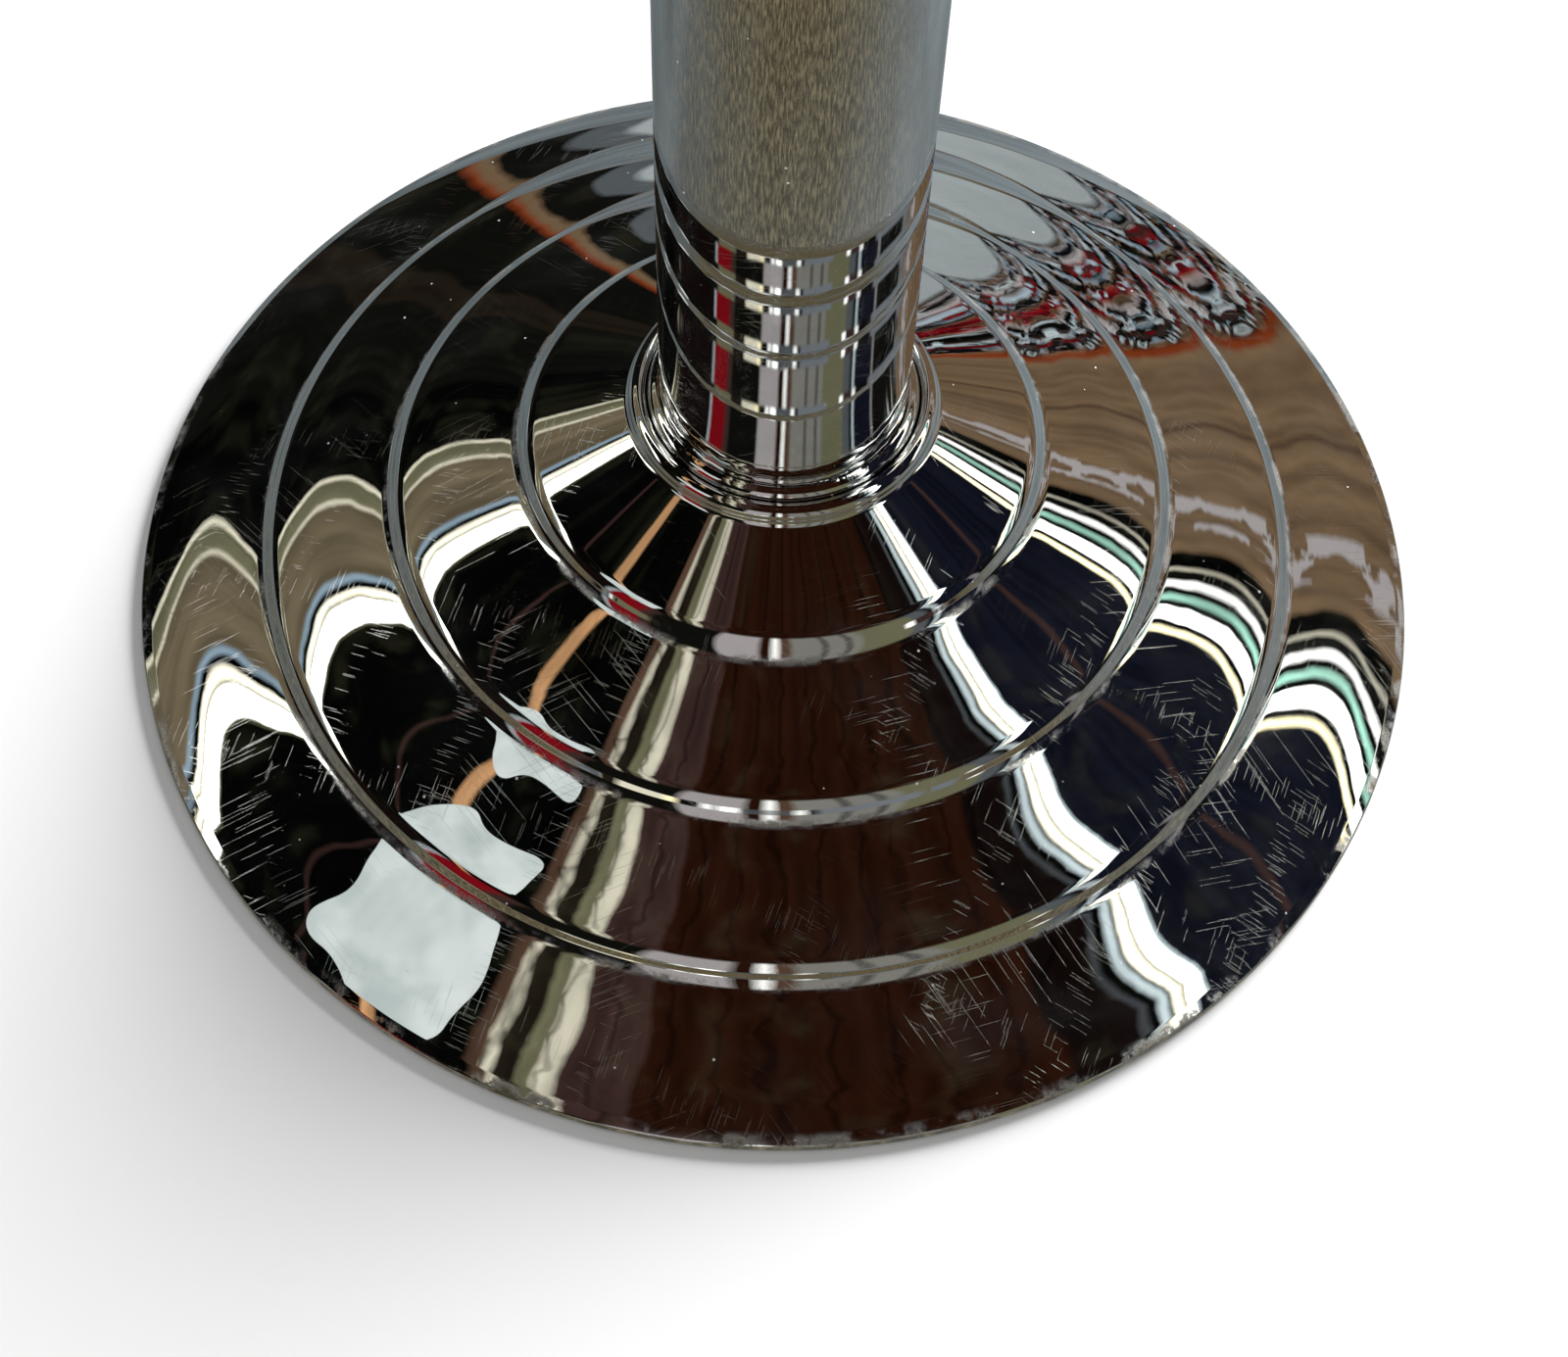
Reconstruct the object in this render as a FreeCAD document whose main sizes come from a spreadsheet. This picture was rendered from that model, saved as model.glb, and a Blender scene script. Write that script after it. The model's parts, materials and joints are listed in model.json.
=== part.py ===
"""Rope barrier stanchion: stepped round base, tubular post, swivelling rope collar, ball finial.

Millimetres. +Z is up, the origin is on the floor at the middle of the base, and +X runs through
the first rope eye. Every turned piece is a profile in the XZ plane, revolved about Z.
"""
import FreeCAD, Part
import math
import os
import re
import Sketcher

DOC = FreeCAD.newDocument("RopeStanchion")
SHEET = DOC.addObject("Spreadsheet::Sheet", "Size")

SIZES = [
    # base cover
    ("rim_radius", 175.0, "outside radius of the base"),
    ("rim_bottom", 0.8, "gap between the metal rim and the floor"),
    ("rim_height", 1.7, "upright edge of the rim"),
    ("rim_round", 1.0, "rounding of the rim's upper corner"),
    ("lip_width", 6.5, "rim lip, turned in under the bottom plate"),
    ("gauge", 1.2, "sheet thickness of the cover"),
    ("step_radius", 67.4, "middle of the innermost step"),
    ("step_height", 59.6, "height of its middle"),
    ("step_pitch", 35.35, "from one step to the next, outwards"),
    ("step_drop", 19.2, "from one step to the next, downwards"),
    ("riser_run", 2.8, "width of a step's riser"),
    ("riser_rise", 4.6, "height of a step's riser"),
    ("band_bow", 0.2, "how far a band bows below and above a straight cone"),
    ("bow_round", 90.0, "radius of that bow"),
    ("edge_round", 7.0, "rounding at the top of a riser"),
    ("foot_round", 7.0, "rounding at the foot of a riser"),
    ("neck_radius", 39.6, "outside of the neck bead"),
    ("neck_top", 77.8, "top of the neck bead"),
    ("neck_bore", 35.0, "inside of the neck bead"),
    ("neck_foot", 73.7, "where the top cone meets the neck bead"),
    ("bead_round", 2.6, "rounding of the bead's outer shoulder"),
    ("bead_lip_round", 1.9, "rounding of the bead's inner edge"),
    ("bead_foot_round", 2.2, "fillet at the foot of the neck bead"),
    # weight and underside
    ("plate_bottom", 2.05, "underside of the bottom plate, on the rim lip"),
    ("plate_gauge", 1.5, "bottom plate thickness"),
    ("plate_radius", 170.6, "bottom plate radius"),
    ("ring_inner", 148.0, "floor ring inside radius"),
    ("ring_outer", 168.0, "floor ring outside radius"),
    ("weight_radius", 160.0, "outside radius of the cast weight"),
    ("weight_edge", 2.9, "height of the weight's upright edge"),
    ("weight_slope_radius", 140.0, "where the weight's sloping edge meets its top"),
    ("weight_top", 15.0, "top of the weight's disc"),
    ("boss_radius", 43.0, "centre boss radius"),
    ("boss_top", 34.0, "top of the centre boss"),
    ("bolt_recess", 20.0, "radius of the recess for the bolt's head"),
    ("recess_top", 19.0, "roof of that recess"),
    ("screw_circle", 110.0, "plate screws' circle radius"),
    ("screw_radius", 2.5, "plate screw shank"),
    ("screw_head_radius", 4.6, "plate screw head"),
    ("screw_head_height", 1.5, "plate screw head height"),
    ("screw_length", 10.0, "plate screw shank length"),
    # post
    ("tube_radius", 31.75, "outside radius of the post"),
    ("tube_wall", 1.5, "wall of the post"),
    ("tube_bottom", 30.0, "foot of the tube, in the boss"),
    ("total_height", 1000.0, "floor to the top of the ball"),
    ("fit_gap", 0.05, "radial clearance of fixed round fits"),
    ("plug_height", 26.0, "bottom plug height"),
    ("bolt_radius", 8.0, "tie bolt shank"),
    ("bolt_head", 13.86, "tie bolt head across corners, halved"),
    ("bolt_head_height", 10.0, "tie bolt head height"),
    ("bolt_head_bottom", 3.6, "underside of the bolt head"),
    ("washer_radius", 17.0, "flat washer radius"),
    ("washer_height", 2.4, "flat washer thickness"),
    ("split_radius", 13.7, "lock washer radius"),
    ("split_height", 3.0, "lock washer thickness"),
    ("bolt_end", 62.0, "end of the tie bolt"),
    # neck ring
    ("ring_bottom", 66.0, "bottom of the neck ring"),
    ("ring_top", 79.2, "top of the neck ring"),
    ("ring_gap", 0.25, "fine line between the neck ring and the bead"),
    ("ring_round", 2.5, "rounding of the neck ring's outer edge"),
    ("ring_lip", 0.3, "rounding where the neck ring meets the tube"),
    # head
    ("stack_height", 39.5, "from the top of the tube to the top of the finial seat"),
    ("top_plug_height", 20.0, "top plug height"),
    ("stud_radius", 6.0, "head stud"),
    ("stud_depth", 16.0, "how far the stud goes into the top plug"),
    ("stud_reach", 56.0, "how far the stud stands above the tube"),
    ("thrust_height", 1.2, "thrust washer thickness"),
    ("bush_radius", 10.0, "collar bush outside radius"),
    ("bush_height", 29.0, "collar bush height"),
    ("run_gap", 0.05, "radial clearance of the collar on its bush"),
    ("end_float", 0.2, "collar's free play up and down"),
    ("collar_radius", 40.0, "rope collar belt radius"),
    ("collar_wall", 6.0, "rope collar outer wall"),
    ("collar_bead", 2.0, "how far the collar's beads stand out"),
    ("collar_bead_height", 5.0, "height of each bead"),
    ("bead_rounding", 1.8, "rounding of the beads' corners"),
    ("collar_skirt", 9.0, "how far the collar hangs below the tube's top"),
    ("collar_web", 5.0, "floor of the collar's pocket"),
    ("hub_radius", 15.0, "collar hub radius"),
    ("eye_height", 15.5, "eye centre above the top of the tube"),
    ("eye_reach", 58.5, "eye centre from the post's middle"),
    ("eye_bore", 10.0, "eye hole radius"),
    ("eye_outer", 17.5, "eye outside radius"),
    ("eye_thickness", 7.5, "eye thickness"),
    ("eye_round", 2.0, "rounding of the eye's edges"),
    ("shank_radius", 4.0, "eye shank radius"),
    ("shank_start", 27.0, "inner end of the eye shank"),
    ("eye_flange_radius", 7.0, "flange that seats on the collar"),
    ("eye_flange_width", 2.0, "thickness of that flange"),
    ("nut_radius", 7.5, "eye nut across corners, halved"),
    ("nut_height", 5.0, "eye nut height"),
    ("nut_back", 1.0, "nut's face inside the collar's round wall"),
    ("head_nut_radius", 10.97, "head nut across corners, halved"),
    ("head_nut_height", 6.0, "head nut height"),
    ("seat_radius", 38.0, "finial seat radius"),
    ("seat_step", 3.0, "upright edge of the finial seat"),
    ("seat_neck", 18.0, "finial seat's neck radius"),
    ("cove_round", 4.5, "cove between the seat's shoulder and its neck"),
    ("ball_radius", 31.75, "ball finial radius"),
    ("ball_gauge", 1.5, "ball wall"),
    ("ball_mouth", 15.0, "radius of the hole under the ball"),
    ("insert_height", 20.0, "finial insert height"),
]


def fill_sheet():
    """Write every size into the sheet, one row each, with its alias and a note."""
    for row, (alias, value, note) in enumerate(SIZES, start=1):
        SHEET.set("A%d" % row, note)
        SHEET.set("B%d" % row, str(value))
        SHEET.setAlias("B%d" % row, alias)
    DOC.recompute()


ALIASES = {alias for alias, _, _ in SIZES}
SAME_PLACE = 1e-6


def bound(text):
    """An expression over the sheet's aliases, as another object writes it."""
    return re.sub(r"[a-z_][a-z_0-9]*", lambda m: "Size." + m.group() if m.group() in ALIASES else m.group(),
                  text)


def value(text):
    """What such an expression is worth now."""
    return float(SHEET.evalExpression(text))


def new_body(label):
    body = DOC.addObject("PartDesign::Body", label)
    body.Label = label
    return body


def plane_of(body, role):
    return next(item for item in body.Origin.OriginFeatures if item.Role == role)


def new_sketch(body, role, name):
    sketch = body.newObject("Sketcher::SketchObject", name)
    sketch.AttachmentSupport = [(plane_of(body, role), "")]
    sketch.MapMode = "FlatFace"
    return sketch


def add_bound(sketch, kind, *where_and_text):
    """A dimension of a sketch, tied to the sheet by its expression."""
    where, text = where_and_text[:-1], where_and_text[-1]
    number = sketch.addConstraint(Sketcher.Constraint(kind, *where, value(text)))
    sketch.setExpression("Constraints[%d]" % number, bound(text))


def pin_point(sketch, geometry, point, across, up):
    """Tie a point to the sheet, by its distances from the sketch's origin."""
    for kind, text, axis in (("DistanceX", across, -2), ("DistanceY", up, -1)):
        if value(text) == 0.0:
            sketch.addConstraint(Sketcher.Constraint("PointOnObject", geometry, point, axis))
        else:
            add_bound(sketch, kind, -1, 1, geometry, point, text)


def rounding(before, corner, after, radius):
    """Where an arc of a radius leaves and joins the two sides of a corner, and the arc itself.

    The arc runs anticlockwise, whichever way the outline turns, as a sketch keeps it.
    """
    back = (before - corner).normalize()
    ahead = (after - corner).normalize()
    half = math.acos(max(-1.0, min(1.0, back.dot(ahead)))) / 2
    reach = radius / math.tan(half)
    start = corner + back * reach
    end = corner + ahead * reach
    middle = corner + (back + ahead).normalize() * (radius / math.sin(half) - radius)
    first, last = (start, end) if back.cross(ahead).z < 0 else (end, start)
    return start, end, Part.Arc(first, middle, last)


def outline(sketch, corners):
    """Draw and constrain a closed outline: corners (across, up), or (across, up, radius) if rounded."""
    count = len(corners)
    places = [FreeCAD.Vector(value(corner[0]), value(corner[1]), 0) for corner in corners]
    rounds = {number: rounding(places[number - 1], places[number], places[(number + 1) % count],
                               value(corner[2]))
              for number, corner in enumerate(corners) if len(corner) == 3}
    lines = []
    for number in range(count):
        following = (number + 1) % count
        start = rounds[number][1] if number in rounds else places[number]
        end = rounds[following][0] if following in rounds else places[following]
        lines.append(sketch.addGeometry(Part.LineSegment(start, end), False))
    for number, corner in enumerate(corners):
        before, after = lines[number - 1], lines[number]
        if number not in rounds:
            sketch.addConstraint(Sketcher.Constraint("Coincident", before, 2, after, 1))
            pin_point(sketch, after, 1, corner[0], corner[1])
            continue
        start, _, arc = rounds[number]
        bend = sketch.addGeometry(arc, False)
        first = 1 if sketch.Geometry[bend].StartPoint.distanceToPoint(start) < SAME_PLACE else 2
        sketch.addConstraint(Sketcher.Constraint("Tangent", before, 2, bend, first))
        sketch.addConstraint(Sketcher.Constraint("Tangent", after, 1, bend, 3 - first))
        add_bound(sketch, "Radius", bend, corner[2])
        mark = sketch.addGeometry(Part.Point(places[number]), True)
        sketch.addConstraint(Sketcher.Constraint("PointOnObject", mark, 1, before))
        sketch.addConstraint(Sketcher.Constraint("PointOnObject", mark, 1, after))
        pin_point(sketch, mark, 1, corner[0], corner[1])


def turned(label, corners, angle=360.0):
    """A body revolved about Z from an outline of (radius, height) expressions."""
    body = new_body(label)
    sketch = new_sketch(body, "XZ_Plane", label + "_profile")
    outline(sketch, corners)
    turn = body.newObject("PartDesign::Revolution", label + "_turn")
    turn.Profile = sketch
    turn.ReferenceAxis = (sketch, ["V_Axis"])
    turn.Angle = angle
    sketch.Visibility = False
    DOC.recompute()
    return body


def washer(label, inner, outer, bottom, top, angle=360.0):
    """A flat ring between two radii and two heights."""
    return turned(label, [(inner, bottom), (outer, bottom), (outer, top), (inner, top)], angle)


def cylinder(name, radius, height, bottom):
    solid = DOC.addObject("Part::Cylinder", name)
    solid.setExpression("Radius", bound(radius))
    solid.setExpression("Height", bound(height))
    solid.setExpression("Placement.Base.z", bound(bottom))
    return solid


def hexagon(name, radius, height, bottom):
    solid = DOC.addObject("Part::Prism", name)
    solid.Polygon = 6
    solid.setExpression("Circumradius", bound(radius))
    solid.setExpression("Height", bound(height))
    solid.setExpression("Placement.Base.z", bound(bottom))
    return solid


def fused(label, *pieces):
    result = DOC.addObject("Part::MultiFuse", label)
    result.Shapes = list(pieces)
    result.Label = label
    return result


def cut(label, base, tool):
    result = DOC.addObject("Part::Cut", label)
    result.Base = base
    result.Tool = tool
    result.Label = label
    return result


def ring_copies(label, make_one, count):
    """Separate solids round the axis in one node, one for each turn of make_one."""
    group = DOC.addObject("Part::Compound", label)
    group.Links = [make_one(number, 360.0 * number / count) for number in range(count)]
    group.Label = label
    return group


# ---------------------------------------------------------------- base

STEPS = 3


def step_corners(number):
    """The top edge and the foot of a step's riser; number STEPS is the rim itself."""
    middle = "step_radius + %d * step_pitch" % number
    height = "step_height - %d * step_drop" % number
    edge = ("%s - riser_run / 2" % middle, "%s + riser_rise / 2" % height)
    foot = ("%s + riser_run / 2" % middle, "%s - riser_rise / 2" % height)
    return edge, foot


def between(start, end, share, lift):
    """A point part of the way from one corner to another, raised by lift."""
    across = "(%s) * %s + (%s) * %s" % (start[0], 1 - share, end[0], share)
    up = "(%s) * %s + (%s) * %s + %s" % (start[1], 1 - share, end[1], share, lift)
    return across, up


def make_base_cover():
    """Spun cover: bands that bow gently, three stepped risers, rolled rim and neck bead."""
    edges = [step_corners(number)[0] for number in range(STEPS + 1)]
    feet = [step_corners(number)[1] for number in range(STEPS)]
    outside = [edges[0] + ("edge_round",)]
    for foot, edge in zip(feet, edges[1:]):
        hollow = between(foot, edge, 0.25, "-band_bow")
        crown = between(foot, edge, 0.75, "band_bow")
        outside += [foot + ("foot_round",), hollow + ("bow_round",), crown + ("bow_round",),
                    edge + ("edge_round",)]
    bead_low = ("neck_radius", "neck_foot", "bead_foot_round")
    bead_high = ("neck_radius", "neck_top", "bead_round")
    rim_high = ("rim_radius", "rim_bottom + rim_height", "rim_round")
    rim_low = ("rim_radius", "rim_bottom")
    lip = [("rim_radius - lip_width", "rim_bottom"),
           ("rim_radius - lip_width", "rim_bottom + gauge"),
           ("rim_radius - gauge", "rim_bottom + gauge"),
           ("rim_radius - gauge", "rim_bottom + gauge + 0.2")]
    inside = [("%s - 0.45 * gauge" % across, "%s - 0.92 * gauge" % up)
              for across, up in [edges[0]] + [corner for pair in zip(feet, edges[1:]) for corner in pair]]
    inside_neck = ("neck_bore", "neck_foot - gauge")
    neck = [inside_neck, ("neck_bore", "neck_top", "bead_lip_round"), bead_high, bead_low]
    corners = neck + outside + [rim_high, rim_low] + lip + inside[::-1]
    return turned("base_cover", corners)


def make_base_weight():
    """Cast iron disc with a sloping edge, a centre boss, a seat for the tube and a bolt recess."""
    bottom = "plate_bottom + plate_gauge"
    seat = "tube_radius + fit_gap * 4"
    corners = [("bolt_recess", bottom), ("weight_radius", bottom),
               ("weight_radius", bottom + " + weight_edge"),
               ("weight_slope_radius", "weight_top"),
               ("boss_radius", "weight_top", "cove_round"), ("boss_radius", "boss_top"),
               (seat, "boss_top"), (seat, "tube_bottom"),
               ("bolt_radius + 0.5", "tube_bottom"), ("bolt_radius + 0.5", "recess_top"),
               ("bolt_recess", "recess_top")]
    body = turned("base_weight", corners)
    tapped_holes(body)
    return body


def tapped_holes(body):
    """Four holes for the plate screws, cut upwards from the weight's underside."""
    sketch = new_sketch(body, "XY_Plane", "screw_hole")
    sketch.setExpression("AttachmentOffset.Base.z", bound("plate_bottom + plate_gauge"))
    hole = sketch.addGeometry(Part.Circle(FreeCAD.Vector(value("screw_circle"), 0, 0),
                                          FreeCAD.Vector(0, 0, 1), value("screw_radius + fit_gap")), False)
    sketch.addConstraint(Sketcher.Constraint("PointOnObject", hole, 3, -1))
    number = sketch.addConstraint(Sketcher.Constraint("DistanceX", -1, 1, hole, 3, value("screw_circle")))
    sketch.setExpression("Constraints[%d]" % number, bound("screw_circle"))
    number = sketch.addConstraint(Sketcher.Constraint("Radius", hole, value("screw_radius + fit_gap")))
    sketch.setExpression("Constraints[%d]" % number, bound("screw_radius + fit_gap"))
    pocket = body.newObject("PartDesign::Pocket", "screw_hole_cut")
    pocket.Profile = sketch
    pocket.setExpression("Length", bound("screw_length - plate_gauge + 1"))
    pocket.Reversed = True
    pocket.Refine = True
    sketch.Visibility = False
    DOC.recompute()
    pattern = body.newObject("PartDesign::PolarPattern", "screw_holes")
    pattern.Originals = [pocket]
    pattern.Axis = (plane_of(body, "Z_Axis"), [""])
    pattern.Angle = 360.0
    pattern.Occurrences = PLATE_SCREWS
    body.Tip = pattern
    DOC.recompute()


PLATE_SCREWS = 4


def make_bottom_plate():
    """Pressed disc that closes the underside, with screw holes and a hole for the bolt."""
    plate = cylinder("plate_disc", "plate_radius", "plate_gauge", "plate_bottom")
    holes = [cylinder("plate_hole_middle", "bolt_recess", "plate_gauge + 2", "plate_bottom - 1")]
    for number in range(PLATE_SCREWS):
        hole = cylinder("plate_hole_%d" % number, "screw_radius + 0.3", "plate_gauge + 2", "plate_bottom - 1")
        place_round(hole, "screw_circle", 360.0 * number / PLATE_SCREWS)
        holes.append(hole)
    return cut("bottom_plate", plate, fused("plate_holes", *holes))


def place_round(solid, radius, degrees):
    """Put a solid at a radius from the axis, in a direction."""
    solid.setExpression("Placement.Base.x", bound("(%s) * cos(%s deg)" % (radius, degrees)))
    solid.setExpression("Placement.Base.y", bound("(%s) * sin(%s deg)" % (radius, degrees)))


def one_plate_screw(number, degrees):
    """Pan head screw, driven up through the plate into the weight."""
    head = cylinder("screw_head_%d" % number, "screw_head_radius", "screw_head_height",
                    "plate_bottom - screw_head_height")
    shank = cylinder("screw_shank_%d" % number, "screw_radius", "screw_length + 0.01", "plate_bottom - 0.01")
    for solid in (head, shank):
        place_round(solid, "screw_circle", degrees)
    return fused("plate_screw_%d" % number, head, shank)


def make_floor_ring():
    return washer("floor_ring", "ring_inner", "ring_outer", "0", "plate_bottom")


def make_bottom_plug():
    """Steel plug pressed in the foot of the tube, tapped for the tie bolt."""
    return washer("bottom_plug", "bolt_radius + fit_gap * 2", "tube_radius - tube_wall - fit_gap",
                  "tube_bottom", "tube_bottom + plug_height")


def make_tie_bolt():
    head = hexagon("bolt_head_hex", "bolt_head", "bolt_head_height", "bolt_head_bottom")
    shank = cylinder("bolt_shank", "bolt_radius", "bolt_end - bolt_head_bottom - 1", "bolt_head_bottom + 1")
    return fused("tie_bolt", head, shank)


def make_lock_washer():
    """Split spring washer on the bolt's head."""
    return washer("lock_washer", "bolt_radius + 0.3", "split_radius",
                  "bolt_head_bottom + bolt_head_height",
                  "bolt_head_bottom + bolt_head_height + split_height", angle=350.0)


def make_flat_washer():
    return washer("flat_washer", "bolt_radius + 0.5", "washer_radius", "recess_top - washer_height",
                  "recess_top")


def make_neck_ring():
    """Thin ring between the neck bead and the tube, its top rolled down to the bead."""
    inner = "tube_radius + fit_gap * 2"
    outer = "neck_bore - ring_gap"
    return turned("neck_ring", [(inner, "ring_bottom"), (outer, "ring_bottom"),
                                (outer, "ring_top", "ring_round"), (inner, "ring_top", "ring_lip")])


# ---------------------------------------------------------------- post

TUBE_TOP = "(total_height - ball_radius - sqrt(ball_radius ^ 2 - ball_mouth ^ 2) - stack_height)"


def above_tube(text):
    return "%s + %s" % (TUBE_TOP, text)


def make_post_tube():
    return washer("post_tube", "tube_radius - tube_wall", "tube_radius", "tube_bottom", TUBE_TOP)


def make_top_plug():
    """Steel plug pressed in the top of the tube, tapped for the head stud."""
    return washer("top_plug", "stud_radius + fit_gap * 2", "tube_radius - tube_wall - fit_gap",
                  above_tube("-top_plug_height"), TUBE_TOP)


# ---------------------------------------------------------------- head

COLLAR_TOP = above_tube("bush_height - end_float")


def make_head_stud():
    body = turned("head_stud", [("0", above_tube("-stud_depth")),
                                ("stud_radius - 1", above_tube("-stud_depth")),
                                ("stud_radius", above_tube("1 - stud_depth")),
                                ("stud_radius", above_tube("stud_reach - 1")),
                                ("stud_radius - 1", above_tube("stud_reach")),
                                ("0", above_tube("stud_reach"))])
    return body


def make_lower_washer():
    return washer("lower_washer", "bush_radius + fit_gap * 2", "tube_radius - 1", TUBE_TOP,
                  above_tube("thrust_height"))


def make_collar_bush():
    """Brass sleeve on the stud that the rope collar turns on."""
    return washer("collar_bush", "stud_radius + fit_gap * 2", "bush_radius", TUBE_TOP,
                  above_tube("bush_height"))


def make_upper_washer():
    return washer("upper_washer", "stud_radius + fit_gap * 2", "collar_radius - collar_wall / 2",
                  above_tube("bush_height"), above_tube("bush_height + thrust_height"))


def make_rope_collar():
    """Turned cup that hangs over the tube's top: belt between two beads, pocket, hub and skirt."""
    bead = "collar_radius + collar_bead"
    skirt = above_tube("-collar_skirt")
    skirt_bore = "tube_radius + 0.6"
    web = above_tube("thrust_height + end_float")
    wall = "collar_radius - collar_wall"
    low_bead = (bead, skirt, "bead_rounding")
    low_bead_top = (bead, skirt + " + collar_bead_height", "bead_rounding")
    high_bead = (bead, COLLAR_TOP, "bead_rounding")
    high_bead_bottom = (bead, COLLAR_TOP + " - collar_bead_height", "bead_rounding")
    corners = [(skirt_bore, skirt), low_bead, low_bead_top,
               ("collar_radius", skirt + " + collar_bead_height"),
               ("collar_radius", COLLAR_TOP + " - collar_bead_height"),
               high_bead_bottom, high_bead, (wall, COLLAR_TOP), (wall, web + " + collar_web"),
               ("hub_radius", web + " + collar_web"), ("hub_radius", COLLAR_TOP),
               ("bush_radius + run_gap", COLLAR_TOP), ("bush_radius + run_gap", web), (skirt_bore, web)]
    body = turned("rope_collar", corners)
    eye_holes(body)
    return body


EYES = 4


def radial_circle(body, radius, name, start):
    """A circle about the +X direction at the eyes' height, on a plane at a distance from the axis."""
    sketch = new_sketch(body, "YZ_Plane", name)
    sketch.setExpression("AttachmentOffset.Base.z", bound(start))
    height = above_tube("eye_height")
    ring = sketch.addGeometry(Part.Circle(FreeCAD.Vector(0, value(height), 0), FreeCAD.Vector(0, 0, 1),
                                          value(radius)), False)
    sketch.addConstraint(Sketcher.Constraint("PointOnObject", ring, 3, -2))
    number = sketch.addConstraint(Sketcher.Constraint("DistanceY", -1, 1, ring, 3, value(height)))
    sketch.setExpression("Constraints[%d]" % number, bound(height))
    number = sketch.addConstraint(Sketcher.Constraint("Radius", ring, value(radius)))
    sketch.setExpression("Constraints[%d]" % number, bound(radius))
    sketch.Visibility = False
    return sketch


def eye_holes(body):
    """Four holes through the belt for the eyes' shanks."""
    sketch = radial_circle(body, "shank_radius + fit_gap", "eye_hole", "collar_radius - collar_wall - 1")
    pocket = body.newObject("PartDesign::Pocket", "eye_hole_cut")
    pocket.Profile = sketch
    pocket.setExpression("Length", bound("collar_wall + collar_bead + 3"))
    pocket.Reversed = True
    DOC.recompute()
    pattern = body.newObject("PartDesign::PolarPattern", "eye_holes")
    pattern.Originals = [pocket]
    pattern.Axis = (plane_of(body, "Z_Axis"), [""])
    pattern.Angle = 360.0
    pattern.Occurrences = EYES
    body.Tip = pattern
    DOC.recompute()


def make_rope_eye(number):
    """Forged eye: a rounded ring on edge, a flange on the collar's belt and a threaded shank."""
    label = "rope_eye_%d" % (number + 1)
    body = new_body(label)
    height = above_tube("eye_height")
    sketch = new_sketch(body, "XZ_Plane", label + "_ring")
    centre = FreeCAD.Vector(value("eye_reach"), value(height), 0)
    for radius in ("eye_outer", "eye_bore"):
        ring = sketch.addGeometry(Part.Circle(centre, FreeCAD.Vector(0, 0, 1), value(radius)), False)
        for kind, text in (("DistanceX", "eye_reach"), ("DistanceY", height)):
            index = sketch.addConstraint(Sketcher.Constraint(kind, -1, 1, ring, 3, value(text)))
            sketch.setExpression("Constraints[%d]" % index, bound(text))
        index = sketch.addConstraint(Sketcher.Constraint("Radius", ring, value(radius)))
        sketch.setExpression("Constraints[%d]" % index, bound(radius))
    sketch.Visibility = False
    pad = body.newObject("PartDesign::Pad", label + "_pad")
    pad.Profile = sketch
    pad.setExpression("Length", bound("eye_thickness"))
    pad.Midplane = True
    DOC.recompute()
    fillet = body.newObject("PartDesign::Fillet", label + "_round")
    rims = ["Edge%d" % index for index, edge in enumerate(pad.Shape.Edges, start=1)
            if isinstance(edge.Curve, Part.Circle)]
    fillet.Base = (pad, rims)
    fillet.setExpression("Radius", bound("eye_round"))
    DOC.recompute()
    for part, radius, start, end in (
            ("flange", "eye_flange_radius", "collar_radius", "collar_radius + eye_flange_width"),
            ("shank", "shank_radius", "shank_start", "eye_reach - eye_outer + 2")):
        profile = radial_circle(body, radius, "%s_%s" % (label, part), start)
        grow = body.newObject("PartDesign::Pad", "%s_%s_pad" % (label, part))
        grow.Profile = profile
        grow.setExpression("Length", bound("%s - (%s)" % (end, start)))
        DOC.recompute()
    body.Placement = FreeCAD.Placement(FreeCAD.Vector(0, 0, 0),
                                       FreeCAD.Rotation(FreeCAD.Vector(0, 0, 1), 360.0 * number / EYES))
    return body


def one_eye_nut(number, degrees):
    """Hexagon nut on an eye's shank, against the inside of the collar's wall."""
    blank = hexagon("nut_hex_%d" % number, "nut_radius", "nut_height", "0")
    bore = cylinder("nut_bore_%d" % number, "shank_radius + fit_gap", "nut_height + 2", "-1")
    nut = cut("eye_nut_%d" % number, blank, bore)
    start = value("collar_radius - collar_wall - nut_height - nut_back")
    level = value(above_tube("eye_height"))
    direction = FreeCAD.Rotation(FreeCAD.Vector(0, 0, 1), degrees)
    nut.Placement = FreeCAD.Placement(direction.multVec(FreeCAD.Vector(start, 0, level)),
                                      direction * FreeCAD.Rotation(FreeCAD.Vector(0, 1, 0), 90))
    return nut


def make_head_nut():
    """Thin nut that clamps the bush and washers on the stud."""
    bottom = above_tube("bush_height + thrust_height")
    blank = hexagon("head_nut_hex", "head_nut_radius", "head_nut_height", bottom)
    bore = cylinder("head_nut_bore", "stud_radius + fit_gap", "head_nut_height + 2", bottom + " - 1")
    return cut("head_nut", blank, bore)


def make_finial_seat():
    """Turned seat under the ball, hollow over the head nut."""
    bottom = above_tube("bush_height + thrust_height")
    top = above_tube("stack_height")
    pocket = "head_nut_radius + 0.6"
    cove = ("seat_neck", bottom + " + seat_step + 1", "cove_round")
    shoulder = ("seat_radius", bottom + " + seat_step", "seat_step / 2")
    corners = [(pocket, bottom), ("seat_radius", bottom), shoulder, cove, ("seat_neck", top),
               ("stud_radius + fit_gap * 2", top),
               ("stud_radius + fit_gap * 2", bottom + " + head_nut_height + 0.5"),
               (pocket, bottom + " + head_nut_height + 0.5")]
    return turned("finial_seat", corners)


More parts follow.
